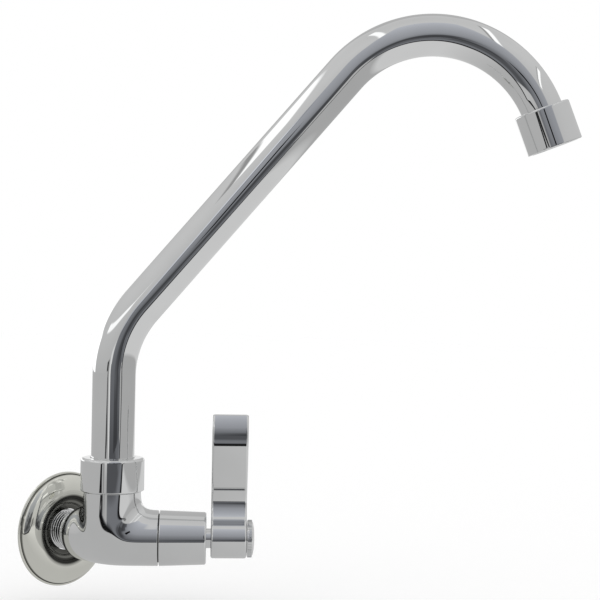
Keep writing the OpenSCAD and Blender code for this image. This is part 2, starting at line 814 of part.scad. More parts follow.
module handle_screw() {
    color("#b0b0b0") valve_frame(pocket_s) difference() {
        union() {
            translate([0, 0, -screw_len]) cylinder(r = screw_r, h = screw_len);
            cylinder(r = screw_head_r, h = screw_head_h - bevel);
            translate([0, 0, screw_head_h - bevel])
                cylinder(r1 = screw_head_r, r2 = screw_head_r - bevel, h = bevel);
        }
        translate([0, 0, screw_head_h / 2])
            cylinder(r = screw_af / 2 / cos(30), h = screw_head_h, $fn = 6);
    }
}

// Plug, ring and dome that close the lever's hub
module index_cap() {
    cap_r = cap_d / 2;
    dome_r = cap_r - cap_step;
    dome_z = cap_s + cap_ring;
    plug_s = hub_end_s - plug_len;
    dome_pts = [for (i = [0:8]) [dome_r * cos(90 * i / 8), dome_z + cap_dome * sin(90 * i / 8)]];
    color("silver") valve_frame() rotate_extrude() polygon(concat(
        [[plug_r - plug_wall, plug_s], [plug_r, plug_s], [plug_r, cap_s],
            [cap_r - bevel / 2, cap_s], [cap_r, cap_s + bevel / 2],
            [cap_r, dome_z - bevel / 2], [cap_r - bevel / 2, dome_z]],
        dome_pts,
        [[0, cap_s], [plug_r - plug_wall, cap_s]]));
}

body_casting();
wall_flange();
collar_nut();
thrust_washer_lower();
thrust_washer_upper();
spout_ferrule();
spout_o_rings();
spout_tube();
outlet_housing();
aerator_washer();
aerator_shell();
aerator_insert();
aerator_screen();
stream_straightener();
valve_sleeve();
headwork_body();
headwork_gasket();
seat_seal();
fixed_disc();
moving_disc();
spindle();
spindle_o_rings();
spindle_clip();
lever_handle();
handle_screw();
index_cap();
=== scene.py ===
import json
from math import acos, asin, atan2, cos, degrees, pi, radians, sin, sqrt, tan

import bpy
import numpy as np
from mathutils import Matrix, Vector


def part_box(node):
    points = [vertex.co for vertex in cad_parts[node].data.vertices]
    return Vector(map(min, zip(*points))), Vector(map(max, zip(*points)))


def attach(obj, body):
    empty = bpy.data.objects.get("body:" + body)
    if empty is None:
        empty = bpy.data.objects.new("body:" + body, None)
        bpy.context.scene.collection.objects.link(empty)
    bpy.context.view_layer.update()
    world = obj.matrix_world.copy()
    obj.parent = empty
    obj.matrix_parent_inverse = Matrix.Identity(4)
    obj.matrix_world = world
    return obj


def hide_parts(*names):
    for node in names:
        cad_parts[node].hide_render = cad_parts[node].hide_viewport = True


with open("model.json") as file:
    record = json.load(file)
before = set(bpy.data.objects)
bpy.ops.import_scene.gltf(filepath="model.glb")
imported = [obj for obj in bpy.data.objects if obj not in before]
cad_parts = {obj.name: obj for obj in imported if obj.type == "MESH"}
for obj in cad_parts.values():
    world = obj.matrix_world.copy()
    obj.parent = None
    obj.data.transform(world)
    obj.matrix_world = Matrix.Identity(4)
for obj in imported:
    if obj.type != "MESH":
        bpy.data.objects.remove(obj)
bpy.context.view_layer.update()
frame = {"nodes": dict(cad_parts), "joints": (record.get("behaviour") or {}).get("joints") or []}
bpy.context.scene.view_settings.view_transform = "Standard"
mm = 0.001


# places taken from the frame
joints = {joint["name"]: joint for joint in frame["joints"]}
swivelPoint = Vector((joints["spout_swivel"]["pos_m"][0], joints["spout_swivel"]["pos_m"][1], 0))
valveAxis = Vector(joints["lever_turn"]["axis"]).normalized()
upAxis = Vector((0, 0, 1))
valveFront = valveAxis.cross(upAxis)  # the side that the lever's blade leans to


def frameMatrix(origin, xAxis, yAxis, zAxis):
    matrix = Matrix((xAxis, yAxis, zAxis)).transposed().to_4x4()
    matrix.translation = origin
    return matrix


# Z along the valve towards the lever, X to the front, Y down
valvePlace = frameMatrix(swivelPoint, valveFront, valveAxis.cross(valveFront), valveAxis)
# Z from the wall into the room, X to the right seen from the room
wallPlace = frameMatrix(Vector(), Vector((1, 0, 0)), Vector((0, 0, 1)), Vector((0, -1, 0)))
# Z up the swivel axis
uprightPlace = frameMatrix(swivelPoint, Vector((1, 0, 0)), Vector((0, 1, 0)), upAxis)
axisR = 0.05  # a solid profile starts this close to its axis, in mm


def alongValve(node):
    # the stretch that a round node takes up along the valve's axis, in mm
    points = [vertex.co for vertex in frame["nodes"][node].data.vertices]
    stations = [(point - swivelPoint).dot(valveAxis) / mm for point in points]
    return min(stations), max(stations)


def heights(node):
    low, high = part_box(node)
    return low.z / mm, high.z / mm


def deselectAll():
    bpy.ops.object.select_all(action="DESELECT")


def activate(piece):
    deselectAll()
    piece.select_set(True)
    bpy.context.view_layer.objects.active = piece


def startEdit(select="SELECT"):
    bpy.ops.object.mode_set(mode="EDIT")
    bpy.ops.mesh.select_all(action=select)


def endEdit(mergeWithin=None):
    bpy.ops.mesh.select_all(action="SELECT")
    if mergeWithin:
        bpy.ops.mesh.remove_doubles(threshold=mergeWithin)
    bpy.ops.mesh.normals_make_consistent(inside=False)
    bpy.ops.object.mode_set(mode="OBJECT")


def settle():
    bpy.ops.object.transform_apply(location=True, rotation=True, scale=True)


def addRing(name, vertices, radius, place=(0, 0, 0), filled=False):
    # the radius in mm, the place in metres
    deselectAll()
    bpy.ops.mesh.primitive_circle_add(vertices=vertices, radius=radius * mm, location=place,
                                      fill_type="NGON" if filled else "NOTHING")
    ring = bpy.context.object
    ring.name = name
    settle()
    return ring


def arcPoints(radius, height, bend, start, end, steps=6):
    # a rounded edge in a turned profile, its centre at radius and height, angles in degrees
    angles = [radians(start + (end - start) * step / steps) for step in range(steps + 1)]
    return [(radius + bend * cos(angle), height + bend * sin(angle)) for angle in angles]


def supported(profile, inset=0.35, longest=2.0):
    # two extra rings near the ends of each long stretch keep its reflections straight
    points = [profile[0]]
    for (r0, z0), (r1, z1) in zip(profile, profile[1:]):
        length = sqrt((r1 - r0) ** 2 + (z1 - z0) ** 2)
        if length > longest:
            for share in (inset / length, 1 - inset / length):
                points.append((r0 + (r1 - r0) * share, z0 + (z1 - z0) * share))
        points.append((r1, z1))
    return points


def turned(name, profile, place, segments=128, solid=False):
    # turned like on a lathe: one ring is extruded and resized from point to point, in mm;
    # a solid piece starts and ends on the axis, any other profile closes on itself
    radius, height = profile[0]
    piece = addRing(name, segments, radius, (0, 0, height * mm), solid)
    startEdit()
    path = supported(profile if solid else profile + [profile[0]])
    for nextRadius, nextHeight in path[1:]:
        bpy.ops.mesh.extrude_region_move(
            TRANSFORM_OT_translate={"value": (0, 0, (nextHeight - height) * mm)})
        if nextRadius > 0:
            share = nextRadius / radius
            bpy.ops.transform.resize(value=(share, share, 1), center_override=(0, 0, nextHeight * mm))
        else:
            bpy.ops.mesh.merge(type="CENTER")
        radius, height = nextRadius, nextHeight
    endEdit(1e-7)
    piece.matrix_world = place
    settle()
    return piece


def smooth(piece, angle=30):
    activate(piece)
    bpy.ops.object.shade_smooth_by_angle(angle=radians(angle))


def applyModifier(piece, kind, **settings):
    activate(piece)
    modifier = piece.modifiers.new(kind.title(), kind)
    for key, value in settings.items():
        setattr(modifier, key, value)
    bpy.ops.object.modifier_apply(modifier=modifier.name)


def spinAbout(centre, axis, angle, steps):
    # without a window the spin turns the other way round its axis
    bpy.ops.mesh.spin(steps=steps, angle=-angle, center=centre, axis=axis)


def cut(piece, tool, operation="DIFFERENCE"):
    applyModifier(piece, "BOOLEAN", object=tool, operation=operation, solver="MANIFOLD")
    bpy.data.objects.remove(tool)


def mergeClose(piece):
    # the cuts leave points that all but touch
    activate(piece)
    startEdit()
    bpy.ops.mesh.remove_doubles(threshold=2e-6)
    bpy.ops.mesh.dissolve_degenerate(threshold=1e-6)
    bpy.ops.object.mode_set(mode="OBJECT")


def finishPiece(piece, body, slot, material, *nodes):
    piece.data.materials.clear()
    piece.data.materials.append(material)
    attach(piece, body)
    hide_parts(*nodes)
    print("made", piece.name, len(piece.data.polygons), "faces")


def addSocket(tree, name, kind, value=None, output=False):
    socket = tree.interface.new_socket(
        name=name, in_out="OUTPUT" if output else "INPUT", socket_type=kind)
    if value is not None:
        socket.default_value = value


def feed(tree, socket, value):
    # a number or a colour is set, another node's output is linked
    if isinstance(value, (int, float, tuple)):
        socket.default_value = value
    else:
        tree.links.new(value, socket)


def mathNode(tree, operation, first, second=None):
    node = tree.nodes.new("ShaderNodeMath")
    node.operation = operation
    feed(tree, node.inputs[0], first)
    if second is not None:
        feed(tree, node.inputs[1], second)
    return node.outputs[0]


def times(tree, first, second):
    return mathNode(tree, "MULTIPLY", first, second)


def minus(tree, first, second):
    return mathNode(tree, "SUBTRACT", first, second)


def mapRange(tree, value, low, high, lowOut, highOut):
    node = tree.nodes.new("ShaderNodeMapRange")
    tree.links.new(value, node.inputs["Value"])
    for name, number in (("From Min", low), ("From Max", high), ("To Min", lowOut), ("To Max", highOut)):
        node.inputs[name].default_value = number
    return node.outputs["Result"]


def grey(level):
    return level, level, level, 1


def mixColours(tree, share, first, second, blend="MIX"):
    node = tree.nodes.new("ShaderNodeMixRGB")
    node.blend_type = blend
    for name, value in (("Fac", share), ("Color1", first), ("Color2", second)):
        feed(tree, node.inputs[name], value)
    return node.outputs["Color"]


def multiplyColours(tree, first, second):
    return mixColours(tree, 1.0, first, second, "MULTIPLY")


def levelRamp(tree, value, stops):
    # greys over a value, from (value, level) stops
    ramp = tree.nodes.new("ShaderNodeValToRGB")
    low, high = stops[0][0], stops[-1][0]
    tree.links.new(mapRange(tree, value, low, high, 0, 1), ramp.inputs["Fac"])
    elements = ramp.color_ramp.elements
    while len(elements) < len(stops):
        elements.new(0.5)
    for element, (place, level) in zip(elements, stops):
        element.position = (place - low) / (high - low)
        element.color = grey(level)
    return ramp.outputs["Color"]


def noise(tree, scale, detail=2.0):
    node = tree.nodes.new("ShaderNodeTexNoise")
    feed(tree, node.inputs["Scale"], scale)
    node.inputs["Detail"].default_value = detail
    tree.links.new(tree.nodes.new("ShaderNodeTexCoord").outputs["Object"], node.inputs["Vector"])
    return node.outputs["Fac"]


def twoTones(tree, share, first, second, start=0.0, end=1.0):
    ramp = tree.nodes.new("ShaderNodeValToRGB")
    for element, place, colour in zip(ramp.color_ramp.elements, (start, end), (first, second)):
        element.position = place
        element.color = (*colour, 1)
    tree.links.new(share, ramp.inputs["Fac"])
    return ramp.outputs["Color"]


def addBump(tree, shader, height, distance):
    # the distance in mm
    bump = tree.nodes.new("ShaderNodeBump")
    bump.inputs["Strength"].default_value = 1
    bump.inputs["Distance"].default_value = distance * mm
    tree.links.new(height, bump.inputs["Height"])
    tree.links.new(bump.outputs["Normal"], shader.inputs["Normal"])


def buildPolishGroup():
    # hand polish: slow waves in the surface and faint wipe marks in the gloss
    tree = bpy.data.node_groups.new("Polish", "ShaderNodeTree")
    addSocket(tree, "Roughness", "NodeSocketFloat", 0.06)
    addSocket(tree, "Smear", "NodeSocketFloat", 0.03)
    addSocket(tree, "Wave Scale", "NodeSocketFloat", 40.0)
    addSocket(tree, "Roughness", "NodeSocketFloat", output=True)
    addSocket(tree, "Height", "NodeSocketFloat", output=True)
    source = tree.nodes.new("NodeGroupInput")
    result = tree.nodes.new("NodeGroupOutput")
    shift = minus(tree, noise(tree, 220, 3), 0.5)
    spread = times(tree, shift, source.outputs["Smear"])
    tree.links.new(mathNode(tree, "ADD", source.outputs["Roughness"], spread), result.inputs["Roughness"])
    tree.links.new(noise(tree, source.outputs["Wave Scale"], 0), result.inputs["Height"])
    return tree


def newMaterial(name):
    material = bpy.data.materials.new(name)
    material.use_nodes = True
    return material, material.node_tree, material.node_tree.nodes["Principled BSDF"]


def platedMetal(name, polish, colour, roughness, smear, wave, waveScale=40.0):
    material, tree, shader = newMaterial(name)
    shader.inputs["Metallic"].default_value = 1
    duller = [channel * 0.97 for channel in colour]
    tree.links.new(twoTones(tree, noise(tree, 60), duller, colour, 0.3, 0.7), shader.inputs["Base Color"])
    group = tree.nodes.new("ShaderNodeGroup")
    group.node_tree = polish
    for key, value in (("Roughness", roughness), ("Smear", smear), ("Wave Scale", waveScale)):
        group.inputs[key].default_value = value
    tree.links.new(group.outputs["Roughness"], shader.inputs["Roughness"])
    addBump(tree, shader, group.outputs["Height"], wave)
    return material


def plainSolid(name, colour, darker, scale, roughness, bumpHeight):
    # moulded or pressed stuff: mottled colour and a fine grain
    material, tree, shader = newMaterial(name)
    mottle = noise(tree, scale, 4)
    tree.links.new(twoTones(tree, mottle, darker, colour), shader.inputs["Base Color"])
    shader.inputs["Roughness"].default_value = roughness
    addBump(tree, shader, mottle, bumpHeight)
    return material


polishGroup = buildPolishGroup()
chromePlate = platedMetal("chromePlate", polishGroup, (0.785, 0.79, 0.79), 0.025, 0.012, 0.003)
warmNickel = platedMetal("warmNickel", polishGroup, (0.86, 0.86, 0.81), 0.05, 0.03, 0.006)
turnedBrass = platedMetal("turnedBrass", polishGroup, (0.78, 0.62, 0.33), 0.25, 0.1, 0.01, 400.0)
satinSteel = platedMetal("satinSteel", polishGroup, (0.6, 0.6, 0.6), 0.3, 0.1, 0.01, 400.0)
blackRubber = plainSolid("blackRubber", (0.03, 0.03, 0.03), (0.015, 0.015, 0.015), 900, 0.6, 0.03)
whiteAcetal = plainSolid("whiteAcetal", (0.78, 0.78, 0.74), (0.7, 0.7, 0.66), 300, 0.35, 0.01)
lappedCeramic = plainSolid("lappedCeramic", (0.85, 0.84, 0.81), (0.8, 0.79, 0.76), 700, 0.2, 0.002)
print("materials ready")


wallFlange = {"sheet": 0.8, "rimRound": 0.35, "rimRise": 0.15, "rimLine": 1.1, "rimDip": 0.1,
              "crestR": 18.75, "crestH": 5.2, "crestShare": 0.45, "floorR": 13.18, "floorH": 2.6,
              "holeR": 10.78, "steps": 14}
# painted shade, by the distance from the middle in mm: the sunk floor and the recess wall are darkened to stand
# in for the dark reflections there, and the rim's line is painted darker as well
flangePaintedShade = ((10, 0.08), (12.6, 0.12), (13.4, 0.2), (14.8, 0.25), (15.6, 0.06), (17.6, 0.04),
                 (18.5, 0.45), (19.6, 1.0), (28.35, 1.0), (28.6, 0.25), (28.95, 0.3), (29.2, 1.0))


# paints shade into the nickel's colour by the distance from the middle: darker in the recess and along the
# rim's line
def addPaintedShade(material):
    tree = material.node_tree
    shader = tree.nodes["Principled BSDF"]
    split = tree.nodes.new("ShaderNodeSeparateXYZ")
    tree.links.new(tree.nodes.new("ShaderNodeTexCoord").outputs["Object"], split.inputs[0])
    square = mathNode(tree, "ADD", times(tree, split.outputs["X"], split.outputs["X"]),
                      times(tree, split.outputs["Z"], split.outputs["Z"]))
    radius = mathNode(tree, "DIVIDE", mathNode(tree, "SQRT", square), mm)
    paintedShadeLevel = multiplyColours(tree, levelRamp(tree, radius, flangePaintedShade), (1, 1, 0.98, 1))
    unshadedColour = shader.inputs["Base Color"].links[0].from_socket
    tree.links.new(multiplyColours(tree, unshadedColour, paintedShadeLevel), shader.inputs["Base Color"])


def makeWallFlange():
    # a flat rim, a fine line, then a quarter ellipse up to the crest and a rounded drop to the sunk floor
    shape = wallFlange
    low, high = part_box("wall_flange")
    rimR = (high.x - low.x) / 2 / mm
    sheet, bend, rise = shape["sheet"], shape["rimRound"], shape["rimRise"]
    crestR, crestH, floorR, floorH = shape["crestR"], shape["crestH"], shape["floorR"], shape["floorH"]
    line = rimR - shape["rimLine"]
    foot = line - shape["rimDip"]
    angles = [pi / 2 * (step + 1) / shape["steps"] for step in range(shape["steps"])]
    rim = [(rimR, 0.0)] + arcPoints(rimR - bend, sheet - bend + rise, bend, 0, 90, 4)
    rim += [(line + rise, sheet + rise)]
    dome = [(line, sheet - shape["rimDip"]), (foot, sheet)]
    dome += [(crestR + (foot - crestR) * cos(angle), sheet + (crestH - sheet) * sin(angle)) for angle in angles]
    outerRun = (crestR - floorR) * shape["crestShare"]
    innerRun = crestR - floorR - outerRun
    half = (crestH - floorH) / 2
    dome += [(crestR - outerRun * sin(angle), floorH + half + half * cos(angle)) for angle in angles]
    dome += [(floorR + innerRun * (1 - sin(angle)), floorH + half * cos(angle)) for angle in angles]
    inside = [(min(r, rimR - sheet), max(z - sheet, 0)) for r, z in reversed(dome)]
    hole = [(shape["holeR"], floorH), (shape["holeR"], floorH - sheet)]
    piece = turned("wallFlange", rim + dome + hole + inside, wallPlace)
    smooth(piece, 40)
    # painted shade in the flange's recess and along its rim's line
    addPaintedShade(warmNickel)
    finishPiece(piece, "root", "nickel_plate", warmNickel, "wall_flange")


makeWallFlange()


collarNut = {"outerR": 16.2, "boreR": 13.75, "lipR": 11.3, "lip": 2.1, "topRound": 1.3,
             "footRound": 0.35, "lipRound": 0.3}


def makeCollarNut():
    shape = collarNut
    low, high = heights("collar_nut")
    outer, top, foot, lip = shape["outerR"], shape["topRound"], shape["footRound"], shape["lipRound"]
    ledge = high - shape["lip"]
    profile = arcPoints(outer - foot, low + foot, foot, -90, 0, 4)
    profile += arcPoints(outer - top, high - top, top, 0, 90, 8)
    profile += arcPoints(shape["lipR"] + lip, high - lip, lip, 90, 180, 3)
    profile += [(shape["lipR"], ledge), (shape["boreR"], ledge), (shape["boreR"], low)]
    piece = turned("collarNut", profile, uprightPlace)
    smooth(piece)
    finishPiece(piece, "root", "chrome_plate", chromePlate, "collar_nut")


makeCollarNut()


valveSleeve = {"backR": 14.1, "frontR": 13.35, "frontRound": 1.0, "wideR": 13.0, "boreR": 8.95,
               "holeR": 5.3, "frontWall": 2.5, "wideLength": 6.0, "backRound": 0.2}


def makeValveSleeve():
    shape = valveSleeve
    back, front = alongValve("valve_sleeve")
    bend, backBend = shape["frontRound"], shape["backRound"]
    wall, step = front - shape["frontWall"], back + shape["wideLength"]
    profile = arcPoints(shape["backR"] - backBend, back + backBend, backBend, -90, 0, 3)
    profile += arcPoints(shape["frontR"] - bend, front - bend, bend, 0, 90, 8)
    profile += [(shape["holeR"], front), (shape["holeR"], wall), (shape["boreR"], wall), (shape["boreR"], step),
                (shape["wideR"], step), (shape["wideR"], back)]
    piece = turned("valveSleeve", profile, valvePlace)
    smooth(piece)
    finishPiece(piece, "root", "chrome_plate", chromePlate, "valve_sleeve")


makeValveSleeve()


spoutShape = {"tubeR": 10.94, "wall": 1.0, "uprightTop": 82.7, "kneeR": 55.5, "slant": 40.3,
              "slantRun": 159.5, "arcR": 61.0, "outletTilt": 21.0, "outletRun": 6.0, "round": 96,
              "kneeSteps": 24, "arcSteps": 72, "ring": 0.5}


def spoutPoint(distance, height):
    return swivelPoint + valveAxis * (distance * mm) + upAxis * (height * mm)


def spoutRun():
    # the centreline's knee centre, arc centre and end of arc, all (distance, height)
    shape = spoutShape
    slant = radians(shape["slant"])
    kneeCentre = (shape["kneeR"], shape["uprightTop"])
    kneeEnd = (shape["kneeR"] * (1 - cos(slant)), shape["uprightTop"] + shape["kneeR"] * sin(slant))
    slantEnd = (kneeEnd[0] + shape["slantRun"] * sin(slant), kneeEnd[1] + shape["slantRun"] * cos(slant))
    arcCentre = (slantEnd[0] + shape["arcR"] * cos(slant), slantEnd[1] - shape["arcR"] * sin(slant))
    tilt = radians(shape["outletTilt"])
    arcEnd = (arcCentre[0] + shape["arcR"] * cos(tilt), arcCentre[1] + shape["arcR"] * sin(tilt))
    return kneeCentre, arcCentre, arcEnd


def extrudeBy(direction, *lengths):
    for length in lengths:
        bpy.ops.mesh.extrude_region_move(TRANSFORM_OT_translate={"value": direction * (length * mm)})


def makeSpoutTube():
    shape = spoutShape
    kneeCentre, arcCentre, _ = spoutRun()
    low = heights("spout_tube")[0]
    slant = radians(shape["slant"])
    tilt = radians(shape["outletTilt"])
    sideways = upAxis.cross(valveAxis)
    ring = shape["ring"]  # an extra ring near each end keeps the bends' shading off the straights
    piece = addRing("spoutTube", shape["round"], shape["tubeR"], spoutPoint(0, low))
    startEdit()
    extrudeBy(upAxis, ring, shape["uprightTop"] - low - 2 * ring, ring)
    spinAbout(spoutPoint(*kneeCentre), sideways, slant, shape["kneeSteps"])
    extrudeBy(valveAxis * sin(slant) + upAxis * cos(slant), ring, shape["slantRun"] - 2 * ring, ring)
    spinAbout(spoutPoint(*arcCentre), sideways, pi - slant - tilt, shape["arcSteps"])
    extrudeBy(valveAxis * sin(tilt) - upAxis * cos(tilt), ring, shape["outletRun"] - ring)
    endEdit(1e-6)
    applyModifier(piece, "SOLIDIFY", thickness=shape["wall"] * mm, offset=-1)
    smooth(piece)
    finishPiece(piece, "spout", "chrome_plate", chromePlate, "spout_tube")


makeSpoutTube()


outletShape = {"overlap": 2.5, "length": 21.2, "outerR": 14.63, "topRound": 0.9, "mouthRound": 0.5,
               "socketR": 11.05, "topBoreR": 11.3, "stop": 6.1, "ledge": 7.3, "ledgeR": 9.4,
               "threadR": 12.0, "mouthBevel": 0.6, "shellR": 11.95, "shellBoreR": 10.35, "lipR": 9.35,
               "shellTop": 8.9, "shellEnd": 17.3, "shellRound": 0.4, "lip": 1.0, "lipRound": 0.3}


def outletPlace():
    tilt = radians(spoutShape["outletTilt"])
    downwards = valveAxis * sin(tilt) - upAxis * cos(tilt)
    arcEnd = spoutRun()[2]
    sideways = upAxis.cross(valveAxis)
    return frameMatrix(spoutPoint(*arcEnd), sideways.cross(downwards), sideways, downwards)


def makeOutletHousing():
    shape = outletShape
    top = -shape["overlap"]
    mouth = top + shape["length"]
    topRound, mouthRound = shape["topRound"], shape["mouthRound"]
    bevel = shape["mouthBevel"]
    profile = [(shape["topBoreR"], top)]
    profile += arcPoints(shape["outerR"] - topRound, top + topRound, topRound, -90, 0, 6)
    profile += arcPoints(shape["outerR"] - mouthRound, mouth - mouthRound, mouthRound, 0, 90, 5)
    profile += [(shape["threadR"] + bevel, mouth), (shape["threadR"], mouth - bevel),
                (shape["threadR"], shape["ledge"]), (shape["ledgeR"], shape["ledge"]),
                (shape["ledgeR"], shape["stop"]), (shape["socketR"], shape["stop"]),
                (shape["socketR"], 0.0), (shape["topBoreR"], 0.0)]
    piece = turned("outletHousing", profile, outletPlace())
    smooth(piece)
    finishPiece(piece, "spout", "chrome_plate", chromePlate, "outlet_housing")


def makeAeratorShell():
    shape = outletShape
    top, end = shape["shellTop"], shape["shellEnd"]
    bend, lipBend = shape["shellRound"], shape["lipRound"]
    profile = [(shape["shellBoreR"], top), (shape["shellR"], top)]
    profile += arcPoints(shape["shellR"] - bend, end - bend, bend, 0, 90, 4)
    profile += arcPoints(shape["lipR"] + lipBend, end - lipBend, lipBend, 90, 180, 4)
    profile += [(shape["lipR"], end - shape["lip"]), (shape["shellBoreR"], end - shape["lip"])]
    piece = turned("aeratorShell", profile, outletPlace())
    smooth(piece)
    finishPiece(piece, "spout", "chrome_plate", chromePlate, "aerator_shell")


makeOutletHousing()
makeAeratorShell()


indexCap = {"ringR": 9.6, "ring": 2.5, "domeR": 8.6, "plugR": 7.05, "plugWall": 1.2, "edge": 0.3,
            "gap": 0.3, "strips": 128, "inset": 0.08, "groove": 0.25}


def knurl(piece, back, front):
    # every second strip of the ring's side is let in a little
    shape = indexCap
    sideHalf, nearlyRound = (front - back) / 2 - shape["edge"], 0.05
    activate(piece)
    startEdit("DESELECT")
    bpy.ops.mesh.select_mode(type="FACE")
    bpy.ops.object.mode_set(mode="OBJECT")
    for face in piece.data.polygons:
        offset = face.center - swivelPoint
        along = offset.dot(valveAxis)
        across = offset - valveAxis * along
        strip = atan2(across.dot(valveFront), across.z) / (2 * pi) * shape["strips"]
        outside = (abs(across.length / mm - shape["ringR"]) < nearlyRound
                   and abs(along / mm - (back + front) / 2) < sideHalf)
        face.select = outside and round(strip - 0.5) % 2 == 0
    bpy.ops.object.mode_set(mode="EDIT")
    bpy.ops.mesh.inset(thickness=shape["inset"] * mm, use_individual=True)
    bpy.ops.transform.shrink_fatten(value=-shape["groove"] * mm)
    bpy.ops.mesh.select_mode(type="VERT")
    bpy.ops.object.mode_set(mode="OBJECT")


def makeIndexCap():
    shape = indexCap
    back, top = alongValve("index_cap")
    ringBack = alongValve("lever_handle")[1] + shape["gap"]
    ringFront = ringBack + shape["ring"]
    edge = shape["edge"]
    rise = top - ringFront
    profile = [(shape["plugR"] - shape["plugWall"], back), (shape["plugR"], back), (shape["plugR"], ringBack)]
    profile += arcPoints(shape["ringR"] - edge, ringBack + edge, edge, -90, 0, 3)
    profile += arcPoints(shape["ringR"] - edge, ringFront - edge, edge, 0, 90, 4)
    profile += [(shape["domeR"] * cos(radians(angle)), ringFront + rise * sin(radians(angle)))
                for angle in range(0, 90, 9)]
    profile += [(0.0, top)]
    hollow = [(axisR, ringBack), (shape["plugR"] - shape["plugWall"], ringBack)]
    piece = turned("indexCap", hollow + profile, valvePlace, shape["strips"], solid=True)
    knurl(piece, ringBack, ringFront)
    smooth(piece)
    finishPiece(piece, "lever", "chrome_plate", chromePlate, "index_cap")


makeIndexCap()


bodyShape = {"branchR": 14.1, "riserR": 14.6, "bendR": 20.0, "valveAngle": 45.0, "shankGap": 10.5,
             "shankRound": 5.0, "footZ": 1.2, "branchEnd": 24.0, "shoulder": 24.1, "spare": 12.0,
             "blend": 3.3, "gridStep": 0.8, "gridLow": (-38, -50, -34), "gridHigh": (50, 48, 56),
             "voxel": 0.7, "ballGap": 0.1, "rounds": 3}
bodyBores = {"inletR": 6.5, "inletStop": 7.5, "mouth": 0.5, "faceGap": 0.01, "tip": 2.0,
             "seatR": 5.5, "seatRun": 10.0, "seatS": 1.0, "chamberR": 11.2, "chamberEnd": 13.4,
             "threadR": 10.5, "threadLead": 0.8, "riserR": 7.0, "riserZ": 7.5, "socketR": 11.05,
             "socketZ": 17.1, "socketLead": 0.4, "neckR": 13.7, "neckLead": 0.5, "edge": 0.3,
             "lap": 0.05, "around": 3.0, "beyond": 20.0}
inletThread = {"majorR": 10.4775, "pitch": 1.814, "depth": 1.162, "length": 15.0, "relief": 0.8,
               "reliefR": 9.68, "lead": 1.0, "start": -12.0, "sink": 0.4, "land": 0.04,
               "shoulder": 0.25, "shoulderHalf": 0.24, "proud": 0.02, "crestHalf": 0.12, "spare": 1.0}
farAway = 1e3  # further than any distance in the casting, in mm


def runDistance(x, y, z):
    # distance to the surface of the shank, bend and branch; x and y in mm from the swivel axis
    shape = bodyShape
    turn = radians(shape["valveAngle"])
    bend = shape["bendR"]
    tangent = bend * tan(turn / 2)
    shankEnd = -swivelPoint.y / mm - shape["shankGap"]
    along = x * valveAxis.x + y * valveAxis.y
    across = x * valveAxis.y - y * valveAxis.x
    branchSide = np.where(along > tangent, np.abs(across), farAway)
    shankSide = np.where(y > tangent, np.abs(x), farAway)
    inBend = np.arctan2(y - tangent, x - bend) <= turn - pi
    bendSide = np.where(inBend, np.abs(np.hypot(x - bend, y - tangent) - bend), farAway)
    flat = np.minimum(np.minimum(shankSide, bendSide), branchSide)
    tube = np.hypot(flat, z) - shape["branchR"]
    curve = shape["shankRound"]
    inward, outward = tube + curve, y - shankEnd + curve
    corner = np.hypot(np.maximum(inward, 0), np.maximum(outward, 0))
    return np.minimum(np.maximum(inward, outward), 0) + corner - curve


def riserDistance(x, y, z):
    drop = np.minimum(z - bodyShape["footZ"], 0)
    return np.sqrt(x * x + y * y + drop * drop) - bodyShape["riserR"]


class SoftUnion:
    # the joined shapes' distance field, blurred so that their seams flow into each other
    def __init__(self, low, high, step, blend):
        self.low, self.step = np.array(low), step
        axes = [np.arange(a, b + step, step) for a, b in zip(low, high)]
        x, y, z = np.meshgrid(*axes, indexing="ij")
        field = np.minimum(runDistance(x, y, z), riserDistance(x, y, z))
        for axis, places in enumerate(axes):
            spread = np.exp(-0.5 * ((places[:, None] - places[None, :]) / blend) ** 2)
            spread /= spread.sum(axis=1, keepdims=True)
            field = np.moveaxis(np.tensordot(spread, field, axes=(1, axis)), 0, axis)
        tubeR = (bodyShape["branchR"] + bodyShape["riserR"]) / 2
        self.field = field - blend ** 2 / (2 * tubeR)  # a blurred tube shrinks by this much

    def at(self, points):
        # cubic interpolation, so that the polished surface shows no grid
        place = (points - self.low) / self.step
        cell = np.clip(np.floor(place).astype(int), 1, np.array(self.field.shape) - 3)
        part = place - cell
        weights = []
        for axis in range(3):
            t = part[:, axis]
            weights.append([((2 - t) * t - 1) * t / 2, (t * t * (3 * t - 5) + 2) / 2,
                            ((4 - 3 * t) * t + 1) * t / 2, (t - 1) * t * t / 2])
        total = np.zeros(len(points))
        for i in range(4):
            for j in range(4):
                for k in range(4):
                    share = weights[0][i] * weights[1][j] * weights[2][k]
                    total += share * self.field[cell[:, 0] + i - 1, cell[:, 1] + j - 1, cell[:, 2] + k - 1]
        return total

    def pull(self, points, rounds=4):
        # moves points along the slope onto the surface
        reach, flattest = 0.2, 0.05
        for _ in range(rounds):
            value = self.at(points)
            slope = np.stack([(self.at(points + step) - self.at(points - step)) / (2 * reach)
                              for step in np.eye(3) * reach], axis=1)
            points = points - slope * (value / np.maximum((slope ** 2).sum(axis=1), flattest))[:, None]
        return points


def cylinderAt(name, radius, start, end):
    deselectAll()
    direction = end - start
    bpy.ops.mesh.primitive_cylinder_add(
        vertices=96, radius=radius * mm, depth=direction.length, location=(start + end) / 2,
        rotation=direction.to_track_quat("Z", "Y").to_euler())
    piece = bpy.context.object
    piece.name = name
    settle()
    return piece


